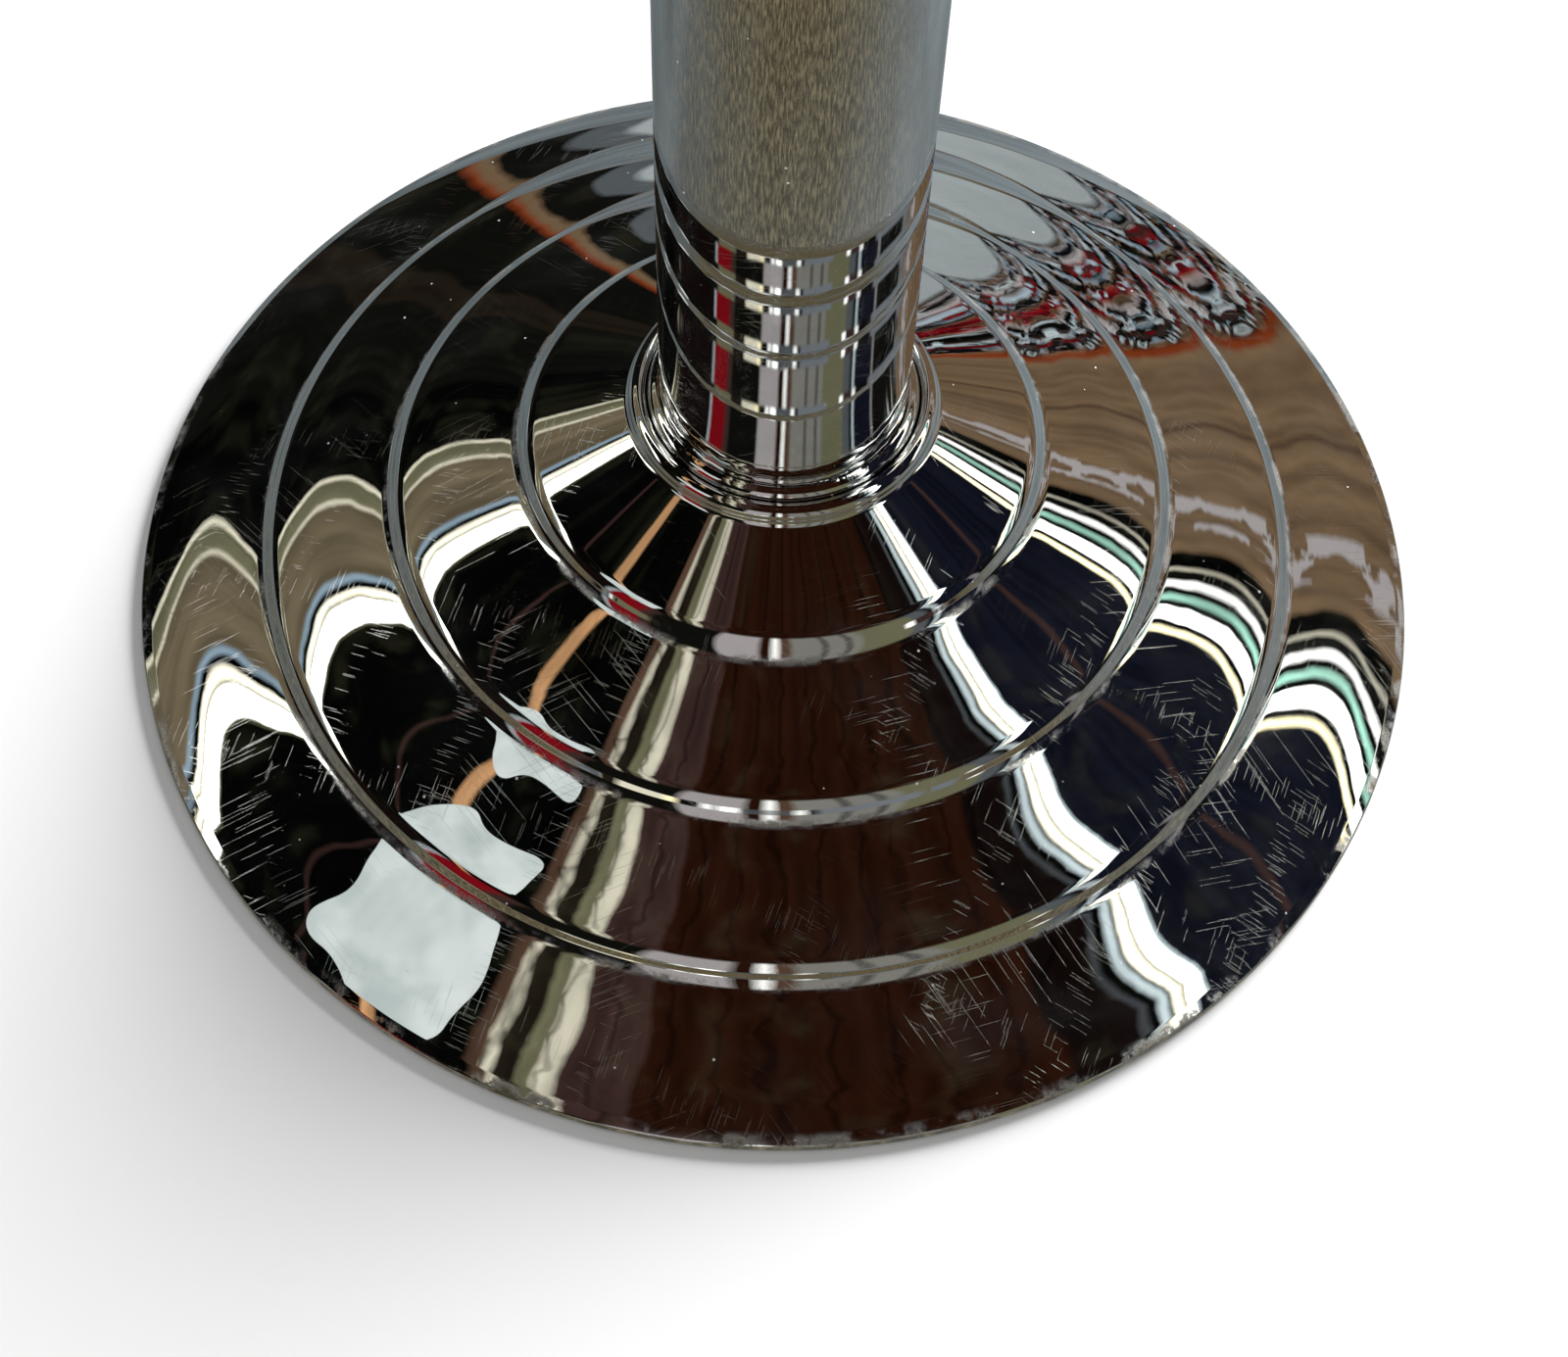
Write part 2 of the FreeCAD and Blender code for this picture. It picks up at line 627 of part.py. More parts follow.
def make_finial_insert():
    """Brass boss brazed in the ball's mouth, tapped for the head stud."""
    body = turned("finial_insert", [("stud_radius + fit_gap * 2", above_tube("stack_height")),
                                    ("ball_mouth - fit_gap", above_tube("stack_height")),
                                    ("ball_mouth - fit_gap", above_tube("stack_height + insert_height")),
                                    ("stud_radius + fit_gap * 2",
                                     above_tube("stack_height + insert_height"))])
    return body


def make_ball_finial():
    """Hollow spun ball with a round mouth underneath."""
    skin = DOC.addObject("Part::Sphere", "ball_skin")
    hollow = DOC.addObject("Part::Sphere", "ball_hollow")
    skin.setExpression("Radius", bound("ball_radius"))
    hollow.setExpression("Radius", bound("ball_radius - ball_gauge"))
    for sphere in (skin, hollow):
        sphere.setExpression("Placement.Base.z", bound("total_height - ball_radius"))
    mouth = cylinder("ball_mouth_cut", "ball_mouth", "ball_radius", "total_height - 2 * ball_radius - 1")
    return cut("ball_finial", skin, fused("ball_inside", hollow, mouth))


# ---------------------------------------------------------------- build, check, write

def build_all():
    nodes = [make_base_cover(), make_base_weight(), make_bottom_plate(),
             ring_copies("plate_screws", one_plate_screw, PLATE_SCREWS), make_floor_ring(),
             make_bottom_plug(), make_tie_bolt(), make_lock_washer(), make_flat_washer(),
             make_neck_ring(), make_post_tube(), make_top_plug(), make_head_stud(),
             make_lower_washer(), make_collar_bush(), make_rope_collar()]
    nodes += [make_rope_eye(number) for number in range(EYES)]
    nodes += [ring_copies("eye_nuts", one_eye_nut, EYES), make_upper_washer(), make_head_nut(),
              make_finial_seat(), make_finial_insert(), make_ball_finial()]
    DOC.recompute()
    return nodes


def check(nodes):
    """Stop if any object failed or any sub-part has no sound solid."""
    for item in DOC.Objects:
        if "Invalid" in item.State or "Error" in item.State:
            raise RuntimeError("%s failed: %s" % (item.Label, item.State))
    for node in nodes:
        if node.Shape.isNull() or not node.Shape.isValid() or node.Shape.Volume <= 0:
            raise RuntimeError("%s has no sound shape" % node.Label)


def write(nodes):
    os.makedirs("parts", exist_ok=True)
    for node in nodes:
        node.Shape.exportStep(os.path.join("parts", node.Label + ".step"))
        print("%-16s solids %d  volume %9.1f mm3" % (node.Label, len(node.Shape.Solids), node.Shape.Volume))


fill_sheet()
NODES = build_all()
check(NODES)
write(NODES)
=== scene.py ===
"""Rope barrier stanchion: looks, floor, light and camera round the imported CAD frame. Metres, +Z up.

Chrome shows the room that it stands in, so the room is a world shader that only reflections see:
a dark hall with bright window strips, a wooden wall, a cluttered shelf and a pale far end. The
camera and the matt surfaces see plain pale studio light.
"""
import json
import math
import bpy
from mathutils import Matrix, Quaternion, Vector, noise


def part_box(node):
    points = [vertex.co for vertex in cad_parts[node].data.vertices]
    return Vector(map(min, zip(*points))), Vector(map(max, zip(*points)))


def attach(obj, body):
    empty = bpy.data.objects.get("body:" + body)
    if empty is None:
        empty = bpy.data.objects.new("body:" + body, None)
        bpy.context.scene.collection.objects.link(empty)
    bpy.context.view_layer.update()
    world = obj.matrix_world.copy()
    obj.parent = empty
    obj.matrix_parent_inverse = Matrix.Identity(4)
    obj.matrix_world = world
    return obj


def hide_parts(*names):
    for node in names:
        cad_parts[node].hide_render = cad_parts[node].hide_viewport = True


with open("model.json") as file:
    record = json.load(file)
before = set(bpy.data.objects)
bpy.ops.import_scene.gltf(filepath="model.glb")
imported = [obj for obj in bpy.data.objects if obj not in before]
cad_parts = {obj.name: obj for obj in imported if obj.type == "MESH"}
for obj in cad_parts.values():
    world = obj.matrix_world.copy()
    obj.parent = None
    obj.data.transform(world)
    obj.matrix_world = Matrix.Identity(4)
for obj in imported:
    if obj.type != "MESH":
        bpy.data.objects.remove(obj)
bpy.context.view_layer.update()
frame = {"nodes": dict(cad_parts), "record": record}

MM = 0.001
COVER_LOW, COVER_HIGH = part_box("base_cover")
BASE_RADIUS = COVER_HIGH.x
TUBE_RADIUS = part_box("post_tube")[1].x

# ---------------------------------------------------------------- camera

CAMERA_AT = Vector((0.0221, -2.3381, 3.4577)) * BASE_RADIUS
CAMERA_DOWN = math.radians(58.55)         # how far it looks down
CAMERA_ROLL = math.radians(2.96)
FOCAL = 1.6625                            # focal length in frame widths


def make_camera():
    camera = bpy.data.cameras.new("camera")
    camera.sensor_fit = "HORIZONTAL"
    camera.lens = FOCAL * camera.sensor_width
    camera.clip_start = 0.01
    holder = bpy.data.objects.new("camera", camera)
    bpy.context.scene.collection.objects.link(holder)
    tilt = Matrix.Rotation(math.pi / 2 - CAMERA_DOWN, 4, "X")
    roll = Matrix.Rotation(CAMERA_ROLL, 4, "Z")
    holder.matrix_world = Matrix.Translation(CAMERA_AT) @ tilt @ roll
    bpy.context.scene.camera = holder


# ---------------------------------------------------------------- colours and node helpers

def linear(red, green, blue):
    """A colour given as on a screen, 0 to 255, in linear light."""
    levels = [level / 255 for level in (red, green, blue)]
    return tuple(one / 12.92 if one <= 0.04045 else ((one + 0.055) / 1.055) ** 2.4 for one in levels)


class Nodes:
    """A node tree with short calls for the few nodes that the materials use."""

    def __init__(self, tree):
        self.tree = tree
        tree.nodes.clear()

    def new(self, kind, **settings):
        node = self.tree.nodes.new(kind)
        for name, setting in settings.items():
            setattr(node, name, setting)
        return node

    def put(self, socket, value):
        if isinstance(value, bpy.types.NodeSocket):
            self.tree.links.new(value, socket)
        else:
            socket.default_value = value

    def math(self, operation, *values):
        node = self.new("ShaderNodeMath", operation=operation)
        for socket, value in zip(node.inputs, values):
            self.put(socket, value)
        return node.outputs[0]

    def dot(self, vector, axis):
        node = self.new("ShaderNodeVectorMath", operation="DOT_PRODUCT")
        self.put(node.inputs[0], vector)
        node.inputs[1].default_value = axis
        return node.outputs["Value"]

    def join(self, x, y, z=0.0):
        node = self.new("ShaderNodeCombineXYZ")
        for socket, value in zip(node.inputs, (x, y, z)):
            self.put(socket, value)
        return node.outputs[0]

    def split(self, vector):
        node = self.new("ShaderNodeSeparateXYZ")
        self.put(node.inputs[0], vector)
        return node.outputs

    def place(self):
        return self.new("ShaderNodeTexCoord").outputs["Object"]

    def noise(self, vector, scale, detail=2.0, roughness=0.5):
        node = self.new("ShaderNodeTexNoise")
        values = {"Vector": vector, "Scale": scale, "Detail": detail, "Roughness": roughness}
        for name, value in values.items():
            self.put(node.inputs[name], value)
        return node.outputs["Fac"]

    def cells(self, vector, scale, dimensions="3D"):
        """Distance to the nearest random point, and a random number of that point's own."""
        node = self.new("ShaderNodeTexVoronoi", voronoi_dimensions=dimensions)
        self.put(node.inputs["Vector"], vector)
        self.put(node.inputs["Scale"], scale)
        return node.outputs["Distance"], self.split(node.outputs["Color"])[0]

    def span(self, value, low, high, start=0.0, end=1.0):
        """value carried smoothly from low..high to start..end, and held at the ends."""
        node = self.new("ShaderNodeMapRange", interpolation_type="SMOOTHSTEP")
        for socket, number in zip(node.inputs, (value, low, high, start, end)):
            self.put(socket, number)
        return node.outputs[0]

    def mix(self, share, first, second, how="MIX"):
        """Two colours mixed; how="MULTIPLY" multiplies them."""
        node = self.new("ShaderNodeMix", data_type="RGBA", blend_type=how)
        colours = [socket for socket in node.inputs if socket.type == "RGBA"]
        self.put(node.inputs["Factor"], share)
        for socket, value in zip(colours, (first, second)):
            self.put(socket, value if isinstance(value, bpy.types.NodeSocket) else (*value, 1.0))
        return next(socket for socket in node.outputs if socket.type == "RGBA")

    def blend(self, share, first, second):
        """Two numbers mixed."""
        node = self.new("ShaderNodeMix", data_type="FLOAT")
        for socket, value in zip(node.inputs, (share, None, first, second)):
            if value is not None:
                self.put(socket, value)
        return node.outputs[0]

    def ramp(self, value, stops, interpolation="LINEAR"):
        """Colours along 0 to 1; a stop is (place, colour, strength), and the strength is the alpha."""
        node = self.new("ShaderNodeValToRGB")
        node.color_ramp.interpolation = interpolation
        elements = node.color_ramp.elements
        while len(elements) < len(stops):
            elements.new(1.0)
        for element, (place, colour, strength) in zip(elements, stops):
            element.position = place
            element.color = (*colour, strength)
        self.put(node.inputs[0], value)
        return node.outputs["Color"], node.outputs["Alpha"]

    def from_axis(self, x, y):
        """How far a place is from the post's axis."""
        return self.math("SQRT", self.math("ADD", self.math("MULTIPLY", x, x), self.math("MULTIPLY", y, y)))

    def bump(self, height, depth):
        node = self.new("ShaderNodeBump")
        node.inputs["Strength"].default_value = 1.0
        node.inputs["Distance"].default_value = depth
        self.put(node.inputs["Height"], height)
        return node.outputs[0]

    def either(self, choice, no, yes):
        """One shader where choice is 0, the other where it is 1."""
        node = self.new("ShaderNodeMixShader")
        for socket, value in zip(node.inputs, (choice, no, yes)):
            self.put(socket, value)
        return node.outputs[0]

    def background(self, colour, strength=1.0):
        node = self.new("ShaderNodeBackground")
        self.put(node.inputs["Color"], colour)
        self.put(node.inputs["Strength"], strength)
        return node.outputs[0]

    def glowing(self, colour):
        """A surface that shines by itself."""
        node = self.new("ShaderNodeEmission")
        self.put(node.inputs["Color"], colour)
        self.surface(node.outputs[0])

    def surface(self, shader):
        output = "ShaderNodeOutputWorld" if isinstance(self.tree.id_data, bpy.types.World) \
            else "ShaderNodeOutputMaterial"
        self.tree.links.new(shader, self.new(output).inputs["Surface"])


# ---------------------------------------------------------------- the room that the chrome shows

BLACK = linear(4, 5, 4)
SOOT = linear(16, 16, 13)
EARTH = linear(34, 28, 21)
WOOD = linear(40, 19, 10)
WOOD_DARK = linear(20, 12, 11)
OAK = linear(118, 96, 72)
OAK_GREY = linear(114, 102, 80)
UMBER = linear(88, 66, 52)
NAVY = linear(19, 21, 32)
SLATE = linear(86, 91, 94)
STEEL = linear(120, 126, 130)
STONE = linear(132, 130, 122)
TAN = linear(206, 156, 108)
OLIVE = linear(112, 110, 84)
CREAM = linear(222, 216, 192)
PAPER = linear(172, 166, 164)
PALE = linear(168, 176, 176)
MIST = linear(192, 206, 208)
SKY = linear(146, 168, 182)
WHITE = linear(252, 252, 246)
AMBER = linear(252, 240, 190)
GREEN = linear(160, 214, 192)
RUST = linear(132, 58, 28)
RED = linear(126, 14, 24)
PLUM = linear(62, 44, 40)

# The room as a band of the base shows it: (degrees round the base where the patch ends, its
# colour, its glow). Zero is the side that faces the camera, and the right is positive.
ROOM_LEFT = [
    (-156, PALE, 0), (-150.5, SLATE, 0), (-142.5, SOOT, 0), (-140.4, OAK, 0), (-139.6, RUST, 0),
    (-128, SOOT, 0), (-122, EARTH, 0), (-104, SOOT, 0), (-90.5, BLACK, 0),
    (-89.6, CREAM, 0.1), (-86.4, OLIVE, 0), (-85.8, CREAM, 0.05), (-74.8, OAK_GREY, 0),
    (-73.2, SKY, 0), (-72.2, BLACK, 0), (-71, CREAM, 0.3), (-70.4, OLIVE, 0), (-67, WHITE, 1),
    (-66.2, OLIVE, 0), (-49.4, BLACK, 0), (-48.9, PLUM, 0), (-39.5, BLACK, 0), (-37.4, TAN, 0.02),
    (-25, BLACK, 0), (-22.8, UMBER, 0), (-21.6, CREAM, 0), (-19.4, EARTH, 0), (-17.6, OLIVE, 0),
    (-15.6, CREAM, 0), (-9, PLUM, 0), (0, WOOD, 0)]
ROOM_RIGHT = [
    (27, WOOD, 0), (32.6, WOOD_DARK, 0), (33.3, SLATE, 0), (34.6, BLACK, 0), (35.5, MIST, 0.1),
    (36.6, BLACK, 0), (37.4, CREAM, 0.5), (38.1, OLIVE, 0), (39.5, WHITE, 1), (39.9, BLACK, 0),
    (40.4, MIST, 0.1), (54.6, NAVY, 0), (55.6, PLUM, 0), (70.6, NAVY, 0), (72, AMBER, 0.4),
    (73.2, BLACK, 0), (75.6, WHITE, 1), (76.6, BLACK, 0), (78.2, GREEN, 0.1), (79.4, SOOT, 0),
    (80.5, WHITE, 0.2), (82, SOOT, 0), (82.8, CREAM, 0), (85, BLACK, 0), (106.5, OAK, 0),
    (107.2, UMBER, 0), (118, OAK, 0), (120, RUST, 0), (140.5, SOOT, 0), (180, PALE, 0)]
WOOD_END = 30                             # where the wavy wood ahead ends, on either side
NOTICE = (88.8, 94.6)                     # where a torn paper hangs, on the right
CLUTTER = (120, 140.5)                    # where a shelf of small things stands, on the right
CLUTTER_COLOURS = [SOOT, RED, BLACK, MIST, SOOT, OAK, BLACK, PAPER, EARTH, SOOT, SKY, PLUM, BLACK,
                   NAVY]
GLOW = 5.0                                # how much brighter than white a window is

# How a patch's edge leans where it is seen lower down: (degrees round the base, lean in degrees).
LEAN = [(-180, -8), (-140, -2), (-98, 4), (-86, 8), (-60, 9), (-44, 4), (-26, -2), (0, 0), (26, 0),
        (40, 6), (56, 0), (74, -7), (92, 2), (114, 0), (134, 7), (180, 6)]
LEAN_SPAN = 60.0                          # degrees of lean from a black stop of the ramp to a white one

# The wall behind the camera, low down, which the risers and the post show: (degrees from straight
# ahead of the post, to the right, where the patch ends, its colour, its glow).
WALL = [
    (-150, PALE, 0), (-120, SOOT, 0), (-66, WOOD_DARK, 0), (-63, SOOT, 0), (-61, MIST, 0), (-49, RED, 0),
    (-44, PLUM, 0), (-21, SOOT, 0), (-5, PAPER, 0), (0, WOOD, 0), (2.5, WHITE, 0.05), (7, UMBER, 0),
    (17, STONE, 0), (19, SOOT, 0), (26, STONE, 0), (28, SOOT, 0), (32, STONE, 0), (50, OLIVE, 0),
    (56, SLATE, 0), (58, SOOT, 0), (60, MIST, 0.1), (76, NAVY, 0), (78, PAPER, 0), (104, SOOT, 0),
    (126, STEEL, 0), (150, OAK, 0), (180, PALE, 0)]
# The same at the height of the floor's edge.
SKIRTING = [
    (-150, STEEL, 0), (-60, SOOT, 0), (-44, OLIVE, 0), (-34, EARTH, 0), (-23, CREAM, 0.05),
    (-20, AMBER, 0.1), (-15, SOOT, 0), (-12, WHITE, 0.1), (-10, SLATE, 0), (-6, WHITE, 0.3),
    (6, SLATE, 0), (9, WHITE, 0.1), (12, NAVY, 0), (36, STEEL, 0), (47, OLIVE, 0), (50, WHITE, 0.2),
    (58, PLUM, 0), (61, WHITE, 0.1), (74, SOOT, 0), (180, STEEL, 0)]

BAND_SLOPE = math.radians(22.5)           # slope of the middle of the cover's bands
BAND_PLACE = BASE_RADIUS * 0.7            # a middling radius on the bands
SIGHT_UP = Vector((0, math.cos(CAMERA_DOWN), math.sin(CAMERA_DOWN)))       # what a level mirror shows
SIGHT_AHEAD = Vector((0, -math.sin(CAMERA_DOWN), math.cos(CAMERA_DOWN)))   # square to it, nearer
MIDDLE_TIP = math.radians(46.5)           # from SIGHT_UP to what the middle of a band shows
BACK_TIP = math.radians(6)                # how much more that is at the back of the base
TIP_UNIT = math.radians(8)                # the step in which the way down a band is counted
WALL_TIPS = (math.radians(72), math.radians(82))    # the room gives way to the wall between these
SKIRTING_HEIGHTS = (0.03, 0.06)           # the skirting gives way to the wall between these
LEAN_REACH = 1.3                          # how far down the lean goes on, in TIP_UNITs
LEAN_CURVE = 1.3                          # the lean grows with this power of the way down
WAVER = 0.06                              # how far the patches' edges waver, in radians
TURN_SOFTNESS = math.radians(0.9)         # how wide the soft edges are, of the patches and of the wall
WALL_SOFTNESS = math.radians(2.5)


def mirrored(degrees, radius, height=0.0):
    """A place on a band, degrees round the base, and the way that its reflection looks."""
    turn = math.radians(degrees)
    outwards = Vector((math.sin(turn), -math.cos(turn), 0))
    place = outwards * radius + Vector((0, 0, height))
    normal = outwards * math.sin(BAND_SLOPE) + Vector((0, 0, math.cos(BAND_SLOPE)))
    sight = (CAMERA_AT - place).normalized()
    return place, 2 * sight.dot(normal) * normal - sight


def shown_at(degrees):
    """The direction, as an angle round SIGHT_UP, of what a band shows at a place round the base."""
    _, seen = mirrored(degrees, BAND_PLACE)
    return math.atan2(seen.x, seen.dot(SIGHT_AHEAD))


def patch_stops(room):
    """Ramp stops over half a turn, each where its patch begins, counted from the front."""
    if room[0][0] < 0:
        return [(abs(shown_at(end)) / math.pi, colour, glow) for end, colour, glow in reversed(room)]
    starts = [0] + [end for end, _, _ in room[:-1]]
    return [(shown_at(start) / math.pi, colour, glow) for start, (_, colour, glow) in zip(starts, room)]


def lean_stops():
    return [((shown_at(place) if abs(place) < 180 else math.radians(place)) / (2 * math.pi) + 0.5,
             (lean / LEAN_SPAN + 0.5,) * 3, 1) for place, lean in LEAN]


def wall_stops(wall):
    starts = [-180] + [end for end, _, _ in wall[:-1]]
    return [(start / 360 + 0.5, colour, glow) for start, (_, colour, glow) in zip(starts, wall)]


def room_light(n):
    """Colour and strength of the room for the direction that a reflection looks in."""
    way = n.new("ShaderNodeTexCoord").outputs["Generated"]
    x, y, height = n.split(way)
    turn = n.math("ARCTAN2", x, n.dot(way, SIGHT_AHEAD))
    tip = n.math("ARCCOSINE", n.dot(way, SIGHT_UP))
    share = n.math("DIVIDE", turn, 2 * math.pi)
    back = n.math("POWER", n.math("ABSOLUTE", n.math("MULTIPLY", share, 2.0)), 3.0)
    middle = n.math("ADD", n.math("MULTIPLY", back, BACK_TIP), MIDDLE_TIP)
    low = n.math("DIVIDE", n.math("SUBTRACT", tip, middle), TIP_UNIT)
    lean = n.ramp(n.math("ADD", share, 0.5), lean_stops(), "B_SPLINE")[0]
    lean = n.math("MULTIPLY", n.math("SUBTRACT", lean, 0.5), math.radians(LEAN_SPAN))
    amount = n.math("POWER", n.math("MINIMUM", n.math("MAXIMUM", low, 0.0), LEAN_REACH), LEAN_CURVE)
    waver = n.math("SUBTRACT", n.noise(way, 5.0, 3.0, 0.6), 0.5)
    turn = n.math("SUBTRACT", turn, n.math("MULTIPLY", lean, amount))
    turn = n.math("ADD", turn, n.math("MULTIPLY", waver, WAVER))
    # each ray goes a little astray, which softens the patches' edges
    astray = n.new("ShaderNodeTexWhiteNoise", noise_dimensions="3D")
    n.put(astray.inputs["Vector"], way)
    astray = n.math("SUBTRACT", astray.outputs["Value"], 0.5)
    turn = n.math("ADD", turn, n.math("MULTIPLY", astray, TURN_SOFTNESS))
    side = n.math("GREATER_THAN", turn, 0.0)
    half = n.math("DIVIDE", n.math("ABSOLUTE", turn), math.pi)
    left, left_glow = n.ramp(half, patch_stops(ROOM_LEFT), "CONSTANT")
    right, right_glow = n.ramp(half, patch_stops(ROOM_RIGHT), "CONSTANT")
    colour = n.mix(side, left, right)
    glow = n.blend(side, left_glow, right_glow)
    colour = room_details(n, way, turn, half, side, low, colour)
    # low down on the camera's side, a wall by its compass direction
    azimuth = n.math("ARCTAN2", x, n.math("MULTIPLY", y, -1.0))
    azimuth = n.math("ADD", azimuth, n.math("MULTIPLY", astray, WALL_SOFTNESS))
    azimuth = n.math("ADD", n.math("DIVIDE", azimuth, 2 * math.pi), 0.5)
    wall, wall_glow = n.ramp(azimuth, wall_stops(WALL), "CONSTANT")
    skirting, skirting_glow = n.ramp(azimuth, wall_stops(SKIRTING), "CONSTANT")
    foot = n.span(height, *SKIRTING_HEIGHTS, 1.0, 0.0)
    wall = n.mix(foot, wall, skirting)
    wall_glow = n.blend(foot, wall_glow, skirting_glow)
    near_wall = n.span(tip, *WALL_TIPS)
    colour = n.mix(near_wall, colour, wall)
    glow = n.blend(near_wall, glow, wall_glow)
    return colour, n.math("ADD", 1.0, n.math("MULTIPLY", glow, GLOW))


def within(n, half, side, stretch):
    """1 in a stretch of the right side, given in degrees round the base, and 0 outside it."""
    start, end = (shown_at(place) / math.pi for place in stretch)
    return n.math("MULTIPLY", side, n.math("MULTIPLY", n.math("GREATER_THAN", half, start),
                                           n.math("LESS_THAN", half, end)))


def room_grain(n, way, turn, half, low):
    """How much darker or lighter the grain makes a place, and the wavy lines of the wood ahead."""
    streaks = n.join(n.math("MULTIPLY", turn, 22.0), n.math("MULTIPLY", low, 0.5))
    streaks = n.span(n.noise(streaks, 1.0, 5.0, 0.6), 0.3, 0.7, 0.6, 1.25)
    clouds = n.span(n.noise(way, 6.0, 4.0), 0.3, 0.7, 0.86, 1.06)
    grain = n.blend(n.span(half, 0.78, 0.86), streaks, clouds)
    ripple = n.math("MULTIPLY", n.noise(way, 9.0, 2.0), 9.0)
    waves = n.math("SINE", n.math("ADD", n.math("MULTIPLY", turn, 58.0), ripple))
    ahead = n.math("LESS_THAN", half, shown_at(WOOD_END) / math.pi)
    lines = n.math("MULTIPLY", n.span(waves, 0.93, 0.99), ahead)
    return n.math("MULTIPLY", grain, n.span(lines, 0.0, 1.0, 1.0, 0.3))


def small_things(n, way, turn, low):
    """The jumble on the shelf: ragged cells, each in a colour of its own."""
    ruffle = n.math("MULTIPLY", n.noise(way, 30.0, 3.0), 6.0)
    spot = n.join(n.math("ADD", n.math("MULTIPLY", turn, 110.0), ruffle),
                  n.math("ADD", n.math("MULTIPLY", low, 4.0), ruffle))
    chance = n.cells(spot, 1.0, "2D")[1]
    stops = [(number / len(CLUTTER_COLOURS), one, 0) for number, one in enumerate(CLUTTER_COLOURS)]
    return n.ramp(chance, stops, "CONSTANT")[0]


def room_details(n, way, turn, half, side, low, colour):
    """Grain, dim things in the dark parts, the torn notice and the shelf of small things."""
    grain = room_grain(n, way, turn, half, low)
    colour = n.mix(1.0, colour, n.join(grain, grain, grain), "MULTIPLY")
    dim = n.noise(n.join(n.math("MULTIPLY", turn, 9.0), n.math("MULTIPLY", low, 1.3), 4.0), 1.0, 3.0)
    colour = n.mix(n.span(dim, 0.5, 0.8, 0.0, 0.09), colour, OLIVE)
    torn = n.noise(n.join(n.math("MULTIPLY", turn, 16.0), n.math("MULTIPLY", low, 1.8), 2.0), 1.0, 3.0)
    notice = n.math("MULTIPLY", within(n, half, side, NOTICE), n.math("GREATER_THAN", torn, 0.5))
    colour = n.mix(notice, colour, PAPER)
    return n.mix(within(n, half, side, CLUTTER), colour, small_things(n, way, turn, low))


STUDIO = 0.24                             # plain light from all round, for matt surfaces
BACKDROP = linear(253, 253, 253)


def make_room():
    """Reflections see the room, the camera a white backdrop, and matt surfaces plain studio light."""
    world = bpy.data.worlds.new("room")
    world.use_nodes = True
    bpy.context.scene.world = world
    n = Nodes(world.node_tree)
    ray = n.new("ShaderNodeLightPath").outputs
    plain = n.either(ray["Is Camera Ray"], n.background((1, 1, 1, 1), STUDIO),
                     n.background((*BACKDROP, 1)))
    n.surface(n.either(ray["Is Glossy Ray"], plain, n.background(*room_light(n))))


# ---------------------------------------------------------------- stage

FLOOR_RADIUS = 14.0
HALL_FLOOR_BELOW = 0.2 * MM


def flat_sheet(name, outline, material):
    """A flat polygon that isn't part of the object."""
    mesh = bpy.data.meshes.new(name)
    mesh.from_pydata(outline, [], [list(range(len(outline)))])
    mesh.materials.append(material)
    sheet = bpy.data.objects.new(name, mesh)
    bpy.context.scene.collection.objects.link(sheet)
    return sheet


def disc(height, sides=96):
    turns = [2 * math.pi * number / sides for number in range(sides)]
    return [(FLOOR_RADIUS * math.cos(turn), FLOOR_RADIUS * math.sin(turn), height) for turn in turns]


def new_material(name):
    material = bpy.data.materials.new(name)
    material.use_nodes = True
    return material, Nodes(material.node_tree)


def pale_floor_material():
    material, n = new_material("pale_floor")
    surface = n.new("ShaderNodeBsdfDiffuse")
    surface.inputs["Color"].default_value = (0.9, 0.9, 0.9, 1)
    n.surface(surface.outputs[0])
    return material


# Window light and shade on the far floor, as stops of a ramp.
POOLS = [(0.0, SOOT, 0), (0.36, SOOT, 0), (0.43, EARTH, 0), (0.49, OAK_GREY, 0), (0.55, STEEL, 0),
         (0.6, SLATE, 0), (0.66, WHITE, 0), (1.0, MIST, 0)]
POOLS_FROM = (1.1, 1.7)                   # metres from the post over which the pools begin


def hall_floor_material():
    """Worn grey-brown boards, speckled, cooler towards the far side. The floor glows by itself as a painted
    reflection that no lamp lights, and painted light makes it lighter to the right.
    """
    material, n = new_material("hall_floor")
    place = n.place()
    speck = n.noise(place, 150.0, 3.0, 0.75)
    patch = n.noise(place, 9.0, 4.0)
    warm = n.mix(n.span(speck, 0.38, 0.72), linear(68, 60, 42), linear(146, 134, 104))
    x, y, _ = n.split(place)
    # painted light: lighter towards the right, plus random patches of tone
    patches_and_painted_light = n.math("ADD", n.span(patch, 0.3, 0.7, 0.0, 0.4), n.span(x, -0.35, 0.35, 0.0, 0.6))
    cool = n.mix(patches_and_painted_light, linear(84, 92, 94), linear(150, 160, 164))
    near = n.mix(n.span(y, -0.35, 0.25), warm, cool)
    away = n.from_axis(x, y)
    bearing = n.math("ARCTAN2", y, x)
    spread = n.join(n.math("MULTIPLY", bearing, 1.9), n.math("LOGARITHM", away, 9.0), 7.0)
    pools = n.ramp(n.noise(spread, 1.0, 1.0), POOLS, "EASE")[0]
    n.glowing(n.mix(n.span(away, *POOLS_FROM), near, pools))
    return material


def only_mirrored(sheet):
    """The chrome shows the sheet, and nothing else sees it."""
    for flag in ("visible_camera", "visible_diffuse", "visible_shadow"):
        setattr(sheet, flag, False)


def make_floors():
    """A pale floor for the camera, and the hall's own floor just under it for the chrome."""
    pale = flat_sheet("pale_floor", disc(0.0), pale_floor_material())
    pale.visible_glossy = False
    only_mirrored(flat_sheet("hall_floor", disc(-HALL_FLOOR_BELOW), hall_floor_material()))
